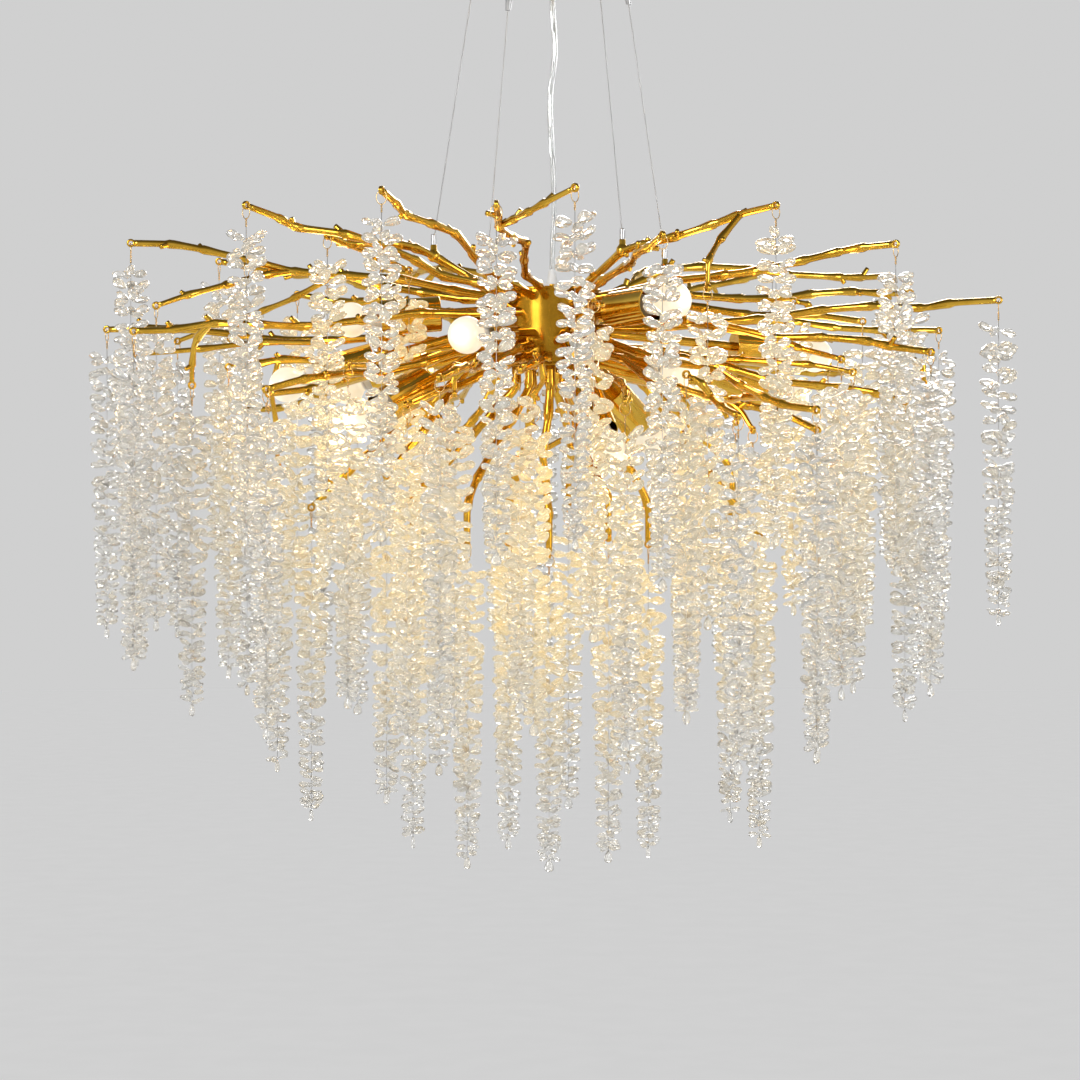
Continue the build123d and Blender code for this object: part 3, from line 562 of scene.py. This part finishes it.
def clear_sheath_material():
    """The cord's clear sheath."""
    settings = {"Transmission Weight": 0.85, "IOR": 1.42}
    made, tree, shader = material("clear_sheath", (0.93, 0.95, 0.95), 0.08, 0.0, settings)
    bump(tree, shader, noise(tree, 120, 3), 0.0003, 0.3)
    return made


def conductor_material():
    """The bare-looking conductors inside the cord's sheath."""
    made, tree, shader = material("conductor", (0.62, 0.62, 0.60), 0.28, 0.9)
    tint = ramp(tree, noise(tree, 500), (0.3, grey(0.45)), (0.7, grey(0.72)))
    tree.links.new(tint, shader.inputs["Base Color"])
    return made


def crystal_material():
    """Cut glass: clear, with a faint tint that differs from bead to bead. Painted light: a warm tint and glow
    round the lamps stand in for their light, and a faint painted glow lightens the beads elsewhere.
    """
    settings = {
        "Transmission Weight": 0.82,
        "IOR": 1.55,
        "Specular IOR Level": 0.9,
        "Coat Weight": 0.5,
        "Coat Roughness": 0.02,
        "Emission Strength": 1.0,
    }
    made, tree, shader = material("crystal", (0.97, 0.95, 0.91), 0.03, 0.0, settings)
    bead_tint = ramp(
        tree,
        tree.nodes.new("ShaderNodeNewGeometry").outputs["Random Per Island"],
        (0.0, (0.97, 0.92, 0.82)),
        (0.35, (0.98, 0.96, 0.92)),
        (0.7, (0.93, 0.935, 0.935)),
        (1.0, (1.0, 0.99, 0.97)),
    )
    # How far a bead is from the lamps, as a share of the reach of their warm light
    where = tree.nodes.new("ShaderNodeTexCoord")
    from_lamps = tree.nodes.new("ShaderNodeMapping")
    from_lamps.inputs["Location"].default_value = (0, 0, 1.3)
    from_lamps.inputs["Scale"].default_value = (1.9, 1.9, 2.1)
    distance = tree.nodes.new("ShaderNodeVectorMath")
    distance.operation = "LENGTH"
    tree.links.new(where.outputs["Object"], from_lamps.inputs["Vector"])
    tree.links.new(from_lamps.outputs["Vector"], distance.inputs[0])
    far = distance.outputs["Value"]
    # Painted light: the base colour is painted warmer nearer the lamps, as if their warm light fell on the
    # glass
    painted_lamp_light = ramp(tree, far, (0.25, (1, 0.89, 0.62)), (1.0, (1, 0.99, 0.965)))
    tint = blended(tree, 0.75, bead_tint, painted_lamp_light, "MULTIPLY")
    tree.links.new(tint, shader.inputs["Base Color"])
    # Painted light: the beads glow, warm and brighter near the lamps as if lit by them, and faintly
    # everywhere else
    glow = ramp(tree, far, (0.2, (0.17, 0.135, 0.07)), (1.0, (0.03, 0.029, 0.027)))
    tree.links.new(glow, shader.inputs["Emission Color"])
    rough = ramp(tree, noise(tree, 140, 2), (0.35, grey(0.0)), (0.75, grey(0.12)))
    tree.links.new(rough, shader.inputs["Roughness"])
    bump(tree, shader, noise(tree, 170, 2), 0.0012, 0.5)
    return made


def bulb_glass_material():
    """Milky glass that glows, a little unevenly."""
    made, tree, shader = material("bulb_glass", (0.36, 0.34, 0.30), 0.16, 0.0, {"Emission Strength": 0.74})
    glow = ramp(tree, noise(tree, 36, 2), (0.35, (1.0, 0.83, 0.56)), (0.65, (1.0, 0.91, 0.72)))
    tree.links.new(glow, shader.inputs["Emission Color"])
    return made


polished_gold = gold_material("polished_gold", (0.62, 0.34, 0.03), (0.82, 0.50, 0.065), 0.08, 0.17, 0.0003)
brushed_gold = gold_material("brushed_gold", (0.72, 0.42, 0.05), (0.82, 0.52, 0.08), 0.10, 0.17, 0.00005)
hub_gold = gold_material("hub_gold", (0.40, 0.20, 0.016), (0.50, 0.27, 0.026), 0.16, 0.24, 0.00006)
gold_wire = gold_wire_material()
satin_steel = steel_material("satin_steel", 0.48, 0.62, 0.3, 180, (8, 1, 1))
twisted_steel = twisted_steel_material()
white_plastic = plastic_material("white_plastic", (0.78, 0.76, 0.71), (0.86, 0.84, 0.79), 0.38)
clear_gland = plastic_material("clear_gland", (0.72, 0.73, 0.73), (0.82, 0.83, 0.83), 0.22)
clear_sheath = clear_sheath_material()
conductor = conductor_material()
crystal = crystal_material()
bulb_glass = bulb_glass_material()
bulb_cap_metal = steel_material("bulb_cap_metal", 0.55, 0.75, 0.25, 300)


# ---------------------------------------------------------------------------
# Branches
# ---------------------------------------------------------------------------

LIMB_RADII = (5.5, 4.0)  # at the hub and at the tip
TWIG_RADII = (4.1, 3.1)
KNOT_SWELL = 1.5  # how much thicker a rod is at a knot
SPUR_LENGTHS = (9, 17)
LIMB_SPURS = 0.75  # the share of knots that carry a cut spur
DROP_SPURS = 0.6
TWIG_SPUR_SHARE = 0.7  # of its limb's share
EYE_RADIUS = 3.9
EYE_TUBE_RADIUS = 1.35
KNUCKLE = [
    (0, -8.2), (4.5, -7), (7.4, -3.4), (8, 0), (7.2, 3.6), (5, 6.4),
    (4.1, 8), (4.1, 12.6), (3.4, 14), (0, 14),
]


def bark(count, sides):
    """A factor on the radius that gives a cast rod its long ridges and hollows."""
    turn = circle_points(sides)[None, :]
    along = np.arange(count)[:, None]
    drift = np.cumsum(rng.normal(0, 0.09, count))[:, None]
    ridges = 0.055 * np.cos(2 * turn + drift) + 0.03 * np.cos(3 * turn - 1.7 * drift + 1)
    grooves = 0.02 * np.cos(5 * turn + 2 * drift + rng.uniform(0, 6))
    waves = 0.025 * np.sin(along * 0.6 + rng.uniform(0, 6))
    return 1 + ridges + grooves + waves + rng.normal(0, 0.005, (count, sides))


def cut_spur(form, start, along, aside, width):
    """A short cut stub that leaves a knot forwards and a little upwards."""
    lean = along * 0.75 + aside / np.linalg.norm(aside)
    lean /= np.linalg.norm(lean)
    reach = rng.uniform(*SPUR_LENGTHS)
    line = np.array([start + lean * reach * k / 5 for k in range(6)])
    tube(form, line, np.linspace(width, width * 0.8, 6), 8, profile=bark(6, 8))


def branch_rod(form, points, radii, spurs):
    """A knotty cast rod that tapers towards its tip, with short cut spurs at some knots."""
    line, knots = rounded(points)
    length = len(line)
    thick, thin = radii
    widths = thick + (thin - thick) * np.linspace(0, 1, length) ** 0.8
    for knot in knots:
        behind = knot - np.arange(length)
        widths = widths + np.where(behind >= 0, KNOT_SWELL * np.exp(-((behind / 2.6) ** 2)), 0)
    tangents, first, second = frames_along(line)
    tube(form, line, widths, 10, profile=bark(length, 10))
    for knot in knots:
        if rng.uniform() > spurs:
            continue
        turn = rng.uniform(0, 2 * math.pi)
        aside = first[knot] * math.cos(turn) + second[knot] * math.sin(turn) + UP * 0.35
        cut_spur(form, line[knot], tangents[knot], aside, widths[knot] * 0.62)


def branch_eye(form, tip, direction):
    """The cast eye at a branch's tip, with its hole level and across the branch."""
    centre = np.array([tip.x, tip.y, tip.z], float)
    along = np.array([math.cos(direction), math.sin(direction), 0])
    for shift in (-1.1, 1.1):
        across = np.cross(along, UP) * shift
        loop_tube(form, ring_line(centre + across, along, UP, EYE_RADIUS, EYE_RADIUS, 16), EYE_TUBE_RADIUS, 8)


def build_branch(form, branch, points, spurs):
    """A limb or drop with its twigs and eyes. Returns each tip with its branch's heading."""
    branch_rod(form, shortened(points), LIMB_RADII, spurs)
    branch_eye(form, branch.tip, heading(points))
    tips = [(branch.tip, heading(points))]
    for fork in branch.forks:
        twig = fork_route(points, fork, branch.side)
        branch_rod(form, shortened(twig), TWIG_RADII, spurs * TWIG_SPUR_SHARE)
        branch_eye(form, fork.tip, heading(twig))
        tips.append((fork.tip, heading(twig)))
    return tips


def build_branches():
    """One piece for each group of branches. Returns every tip with its branch's heading."""
    tips = []
    for node, limbs in LIMBS.items():
        form = Form()
        for limb in limbs:
            route = limb_route(limb)
            tips += build_branch(form, limb, route, LIMB_SPURS)
            if limb.hanger:
                lathe(form, KNUCKLE, Matrix.Translation(route[1]), 20)
        for drop in DROPS.get(node, []):
            tips += build_branch(form, drop, drop_route(drop), DROP_SPURS)
        form.piece("cast_" + node, [polished_gold], "frame", "gold", node)
    return tips


# ---------------------------------------------------------------------------
# Strands of glass beads
# ---------------------------------------------------------------------------

STRAND_DROP = 32  # from the eye's hole to the top beads
STRAND_LENGTH = 370
LEVELS = 28
BEADS_A_LEVEL = 5
TOP_REACH = 25.6  # how far the beads reach from the thread, at the top and at the end
END_REACH = 15.6
BEAD_ROOT = 1.6  # how far from the strand's middle a bead starts
LONGEST_BEAD = 21.5
BEAD_TILT = (-22, 36)  # degrees
BEAD_ROLL = 0.8
END_BEAD_LENGTH = 16.5
GLASS, WIRE, THREAD = range(3)  # the strands' material numbers


def bead_shape(sides=6):
    """A flattened teardrop along +X, one unit long, with its thin end at the origin."""
    stations = [0.14, 0.36, 0.62, 0.84, 0.96]
    widths = [0.16, 0.29, 0.36, 0.335, 0.20]
    depths = [0.12, 0.18, 0.215, 0.18, 0.10]
    vertices = [(0, 0, 0)]
    for x, width, depth in zip(stations, widths, depths):
        vertices += [(x, width * math.cos(t), depth * math.sin(t)) for t in circle_points(sides)]
    vertices.append((1, 0, 0))
    faces = cap_faces(0, 1, sides, False)
    faces += ring_faces(len(stations), sides, first=1)
    faces += cap_faces(len(vertices) - 1, 1 + (len(stations) - 1) * sides, sides, True)
    return np.array(vertices), faces


BEAD_VERTICES, BEAD_FACES = bead_shape()


def bead(form, start, direction, flat, length):
    """One glass bead from its thin end, along a direction, with its flat side towards another."""
    x = direction / np.linalg.norm(direction)
    z = flat - x * flat.dot(x)
    z /= np.linalg.norm(z)
    y = np.cross(z, x)
    form.add(start + (BEAD_VERTICES * length) @ np.array([x, y, z]), BEAD_FACES, GLASS)


def strand_wire(form, origin, along, across):
    """The wire loop in the branch's eye, its two ends twisted into a stem, and the steel thread."""
    loop_tube(form, ring_line(origin - UP * 8, across, UP, 6.4, 8, 22), 0.55, 5, WIRE)
    for phase in (0, math.pi):
        heights = np.linspace(-15.2, -25, 17)
        turn = np.linspace(0, 5 * math.pi, 17) + phase
        aside = np.outer(np.cos(turn), across) + np.outer(np.sin(turn), along)
        tube(form, origin + np.outer(heights, UP) + 0.75 * aside, 0.5, 5, WIRE)
    thread = np.array([origin + UP * h for h in (-23, -STRAND_DROP - STRAND_LENGTH + 14)])
    tube(form, thread, 0.35, 5, THREAD)


def strand_beads(form, origin, along, across):
    """Whorls of beads, wider and further apart at the top, and one bead that hangs at the end."""
    spin = rng.uniform(0, 2 * math.pi)
    for level in range(LEVELS):
        share = level / (LEVELS - 1)
        reach = TOP_REACH + (END_REACH - TOP_REACH) * share + rng.uniform(-1.6, 0.2)
        fall = (STRAND_LENGTH - 27) * share * (1.3 - 0.3 * share)
        height = -STRAND_DROP - 6 - fall + rng.uniform(-1, 1)
        spin += math.pi / BEADS_A_LEVEL + rng.uniform(-0.16, 0.16)
        for k in range(BEADS_A_LEVEL):
            turn = spin + 2 * math.pi / BEADS_A_LEVEL * k + rng.uniform(-0.2, 0.2)
            out = along * math.cos(turn) + across * math.sin(turn)
            tilt = math.radians(rng.uniform(*BEAD_TILT))
            roll = rng.uniform(-BEAD_ROLL, BEAD_ROLL)
            longest = (reach - BEAD_ROOT) / math.cos(tilt)
            length = min(longest * rng.uniform(0.9, 1.0), LONGEST_BEAD)
            spare = max(0.0, reach - BEAD_ROOT - length * math.cos(tilt) - 0.5)
            start = origin + UP * (height - 2) + out * (BEAD_ROOT + spare)
            direction = out * math.cos(tilt) + UP * math.sin(tilt)
            flat = UP * math.cos(roll) + np.cross(UP, out) * math.sin(roll)
            bead(form, start, direction, flat, length)
    lowest = origin + UP * (-STRAND_DROP - STRAND_LENGTH + 17)
    bead(form, lowest, -UP, along, END_BEAD_LENGTH)


def group_of(tip):
    """The node that the strand at a tip belongs to."""
    if tip.strand:
        return tip.strand
    if math.hypot(tip.x, tip.y) < INNER_GROUP_RADIUS:
        return "strands_inner"
    return "strands_front" if tip.y < 0 else "strands_rear"


def build_strands(tips):
    """One piece for each named strand and for each group of the others."""
    grouped = {}
    for tip, direction in tips:
        grouped.setdefault(group_of(tip), []).append((tip, direction))
    for group, members in grouped.items():
        form = Form()
        for tip, direction in members:
            origin = np.array([tip.x, tip.y, tip.z], float)
            along = np.array([math.cos(direction), math.sin(direction), 0])
            across = np.array([-along[1], along[0], 0])
            strand_wire(form, origin, along, across)
            strand_beads(form, origin, along, across)
        body = "swinging_" + group if group.startswith("strand_") else "frame"
        form.piece("beads_" + group, [crystal, gold_wire, satin_steel], body, "crystal", group)


# ---------------------------------------------------------------------------
# Lamps
# ---------------------------------------------------------------------------

GLOBE_RADIUS = 22.5
GLOBE_THROAT_RADIUS = 13
GLOBE_THROAT_LENGTH = 8
# Where the collar meets the holder, measured outwards from the globe's middle
COLLAR_END = -GLOBE_THROAT_LENGTH - math.sqrt(GLOBE_RADIUS**2 - GLOBE_THROAT_RADIUS**2)
THREADS = 6
THREAD_PITCH = 2.9


def build_bulb(number, root, middle):
    """A glass globe, its white collar and its screw cap, with a weak light just past the globe."""
    direction = (middle - root).normalized()
    place = Matrix.Translation(middle) @ direction.to_track_quat("Z", "Y").to_matrix().to_4x4()
    form = Form()
    globe = [(GLOBE_RADIUS * math.sin(a), GLOBE_RADIUS * math.cos(a)) for a in np.linspace(0.02, 2.52, 26)]
    lathe(form, globe + [(12.2, -20.4), (11.3, -22.8)], place, 36, 0)
    collar = [(11.4, -22.4), (12.1, -23.2), (12.0, -25.0), (10.8, -26.0)]
    collar += [(9.4, COLLAR_END + 1.2), (9.0, COLLAR_END + 0.2), (7.1, COLLAR_END)]
    lathe(form, collar, place, 28, 1)
    screw = [(7.0, COLLAR_END)]
    for thread in range(THREADS):
        low = COLLAR_END - 2 - thread * THREAD_PITCH
        screw += [(6.4, low), (6.95, low - 0.7), (6.95, low - 1.4), (6.4, low - 2.1)]
    screw += [(6.4, COLLAR_END - 20.5), (5.0, COLLAR_END - 22), (4, COLLAR_END - 22.2)]
    screw += [(3.6, COLLAR_END - 24.4), (0.2, COLLAR_END - 24.5)]
    lathe(form, screw, place, 24, 2)
    name = f"bulb_{number:02d}"
    materials = [bulb_glass, white_plastic, bulb_cap_metal]
    form.piece("lit_" + name, materials, "turning_" + name, "bulb_glass", name)
    glow = bpy.data.lights.new("glow_" + name, "POINT")
    glow.energy = 0.22
    glow.color = (1, 0.72, 0.38)
    glow.shadow_soft_size = 0.02
    glow_object = bpy.data.objects.new("glow_" + name, glow)
    glow_object.location = middle / 1000 + direction * 0.03
    bpy.context.scene.collection.objects.link(glow_object)


# ---------------------------------------------------------------------------
# The power cord: a clear sheath with two conductors, which hangs in easy waves
# ---------------------------------------------------------------------------

CORD_ROUTE = [
    (0, 0, -43),
    (0, 0, -69),
    (2.5, 1, -104),
    (4, 0, -139),
    (-3, -1, -180),
    (-2.5, 0, -226),
    (1.5, 1, -280),
    (3, 0, -338),
    (0, 0, -390),
    (0, 0, -429),
]
CONDUCTOR_RADIUS = 0.95
CONDUCTOR_OFFSET = 1.35  # from the cord's middle
CONDUCTOR_LAY = 26  # length of cord in which the pair turns by one radian
RELIEF = [(5.4, 0), (5.6, 1.4), (4.9, 2.2), (5.2, 3.4), (4.5, 4.2), (4.8, 5.4), (4.1, 6.2), (3.6, 8)]
RELIEF_ENDS = ((-53, -1), (-419, 1))  # the height of each, and the way that it tapers


def route_curve(name, points, bevel):
    """A smooth curve with these points, in millimetres, as its control points."""
    curve = bpy.data.curves.new(name, "CURVE")
    curve.dimensions = "3D"
    spline = curve.splines.new("NURBS")
    spline.points.add(len(points) - 1)
    for point, place in zip(spline.points, points):
        point.co = (*[c / 1000 for c in place], 1)
    spline.order_u = 3
    spline.use_endpoint_u = True
    spline.resolution_u = 12
    curve.bevel_depth = bevel
    curve.bevel_resolution = 5
    curve.use_fill_caps = True
    made = bpy.data.objects.new(name, curve)
    bpy.context.scene.collection.objects.link(made)
    return made


def build_conductors():
    """Two conductors that wind round the smooth line of the cord's own curve."""
    centre_curve = route_curve("cord_centre", CORD_ROUTE, 0)
    centre_mesh = bpy.data.meshes.new_from_object(centre_curve)
    line = np.array([vertex.co for vertex in centre_mesh.vertices]) * 1000
    bpy.data.objects.remove(centre_curve)
    form = Form()
    _, first, second = frames_along(line)
    turn = np.cumsum(np.r_[0, np.linalg.norm(np.diff(line, axis=0), axis=1)]) / CONDUCTOR_LAY
    for phase in (0, math.pi):
        offset = first * np.cos(turn + phase)[:, None] + second * np.sin(turn + phase)[:, None]
        tube(form, line + offset * CONDUCTOR_OFFSET, CONDUCTOR_RADIUS, 8)
    return form.piece("cord_conductors", [conductor], "frame", "clear_cord")


def build_reliefs():
    """Tapered strain reliefs where the cord leaves its glands."""
    form = Form()
    for height, way in RELIEF_ENDS:
        place = Matrix.Translation((0, 0, height)) @ Matrix.Diagonal((1, 1, way, 1))
        lathe(form, RELIEF, place, 24)
    return form.piece("cord_strain_reliefs", [clear_gland], "frame", "gland")


def build_cord():
    conductors = build_conductors()
    cord = route_curve("power_cord_sheath", CORD_ROUTE, 0.0035)
    cord.data.materials.append(clear_sheath)
    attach(cord, "frame")
    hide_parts("power_cord")
    build_reliefs()


# ---------------------------------------------------------------------------
# Finishes of the pieces that keep their shape
# ---------------------------------------------------------------------------

FINISHES = {
    polished_gold: ["hub_finial", "hub_bolts", "canopy_nuts", "lamp_arms"],
    brushed_gold: ["canopy_cover", "lamp_cups"],
    hub_gold: ["hub_shell", "hub_top_plate", "hub_base_plate"],
    satin_steel: ["ceiling_bracket", "wire_grippers", "wire_anchors"],
    twisted_steel: ["suspension_wires"],
    white_plastic: ["lamp_holders", "canopy_terminal_block", "hub_connector"],
    clear_gland: ["cord_gland_top", "cord_gland_hub"],
}


# ---------------------------------------------------------------------------
# Floor, light and camera
# ---------------------------------------------------------------------------

FLOOR_HEIGHT = -4.2  # metres, as are the other places and sizes here
MIDDLE = (0, 0, -0.6)
BACKDROP = (0.63, 0.63, 0.63, 1)
UNSEEN_WORLD = (0.55, 0.55, 0.55, 1)  # what lights the part from all sides


def seen_directly(tree):
    """One for the camera's rays, and for those that mirrors and clear glass pass on, else zero."""
    path = tree.nodes.new("ShaderNodeLightPath")
    total = path.outputs["Is Camera Ray"]
    for kind in ("Is Glossy Ray", "Is Transmission Ray"):
        either = tree.nodes.new("ShaderNodeMath")
        either.operation = "MAXIMUM"
        tree.links.new(total, either.inputs[0])
        tree.links.new(path.outputs[kind], either.inputs[1])
        total = either.outputs[0]
    return total


def build_floor():
    """A floor that keeps the part's soft shadow, lifted to the backdrop's tone where it is seen."""
    settings = {"Specular IOR Level": 0.0, "Emission Color": (1, 1, 1, 1)}
    finish, tree, shader = material("studio_floor", grey(0.72), 0.9, 0.0, settings)
    tint = ramp(tree, noise(tree, 3, 2), (0.3, grey(0.65)), (0.7, grey(0.67)))
    tree.links.new(tint, shader.inputs["Base Color"])
    lift = tree.nodes.new("ShaderNodeMath")
    lift.operation = "MULTIPLY"
    lift.inputs[1].default_value = 0.268
    tree.links.new(seen_directly(tree), lift.inputs[0])
    tree.links.new(lift.outputs[0], shader.inputs["Emission Strength"])
    bpy.ops.mesh.primitive_circle_add(
        vertices=96, radius=60, fill_type="NGON", location=(0, 0, FLOOR_HEIGHT)
    )
    floor = bpy.context.object
    floor.name = "studio_floor"
    floor.data.materials.append(finish)


def build_backdrop():
    """A pale backdrop, with a darker ceiling that only polished metal and glass show."""
    world = bpy.data.worlds.new("studio")
    bpy.context.scene.world = world
    world.use_nodes = True
    tree = world.node_tree
    tree.nodes.clear()
    sky = tree.nodes.new("ShaderNodeTexCoord")
    split = tree.nodes.new("ShaderNodeSeparateXYZ")
    tree.links.new(sky.outputs["Generated"], split.inputs["Vector"])
    shade = ramp(
        tree,
        split.outputs["Z"],
        (0.0, grey(0.63)),
        (0.30, grey(0.63)),
        (0.52, grey(0.24)),
        (1.0, grey(0.10)),
    )
    path = tree.nodes.new("ShaderNodeLightPath")
    seen = blended(tree, path.outputs["Is Camera Ray"], shade, BACKDROP)
    colour = blended(tree, seen_directly(tree), UNSEEN_WORLD, seen)
    background = tree.nodes.new("ShaderNodeBackground")
    tree.links.new(colour, background.inputs["Color"])
    output = tree.nodes.new("ShaderNodeOutputWorld")
    tree.links.new(background.outputs["Background"], output.inputs["Surface"])


def area_light(name, place, size, power, colour=(1, 1, 1)):
    """A rectangular lamp that faces the part's middle."""
    light = bpy.data.lights.new(name, "AREA")
    light.shape = "RECTANGLE"
    light.size, light.size_y = size
    light.energy = power
    light.color = colour
    made = bpy.data.objects.new(name, light)
    made.location = place
    made.rotation_mode = "QUATERNION"
    made.rotation_quaternion = (Vector(MIDDLE) - Vector(place)).to_track_quat("-Z", "Y")
    bpy.context.scene.collection.objects.link(made)


def build_camera():
    """A level camera at the photograph's distance and height."""
    data = bpy.data.cameras.new("camera")
    data.lens = 90.7
    data.sensor_width = 36
    data.clip_end = 200
    camera = bpy.data.objects.new("camera", data)
    camera.location = (-0.0155, -3.5, -0.7585)
    camera.rotation_euler = (math.radians(90), 0, 0)
    bpy.context.scene.collection.objects.link(camera)
    bpy.context.scene.camera = camera


# ---------------------------------------------------------------------------
# The scene
# ---------------------------------------------------------------------------

build_strands(build_branches())
for number, (angle, height, middle) in enumerate(LAMPS, start=1):
    build_bulb(number, polar(HUB_RADIUS, angle, height), Vector(middle))
build_cord()
for finish, names in FINISHES.items():
    for name in names:
        for slot in nodes[name].material_slots:
            slot.material = finish
build_floor()
build_backdrop()
area_light("key", (-2.2, -2.6, 0.5), (1.2, 1.2), 60, (1, 0.985, 0.96))
area_light("fill", (2.6, -2.0, -0.3), (1.0, 1.6), 30, (0.97, 0.985, 1))
area_light("rim", (0.6, 2.8, 0.6), (1.6, 0.8), 45)
build_camera()
bpy.context.scene.view_settings.view_transform = "Standard"
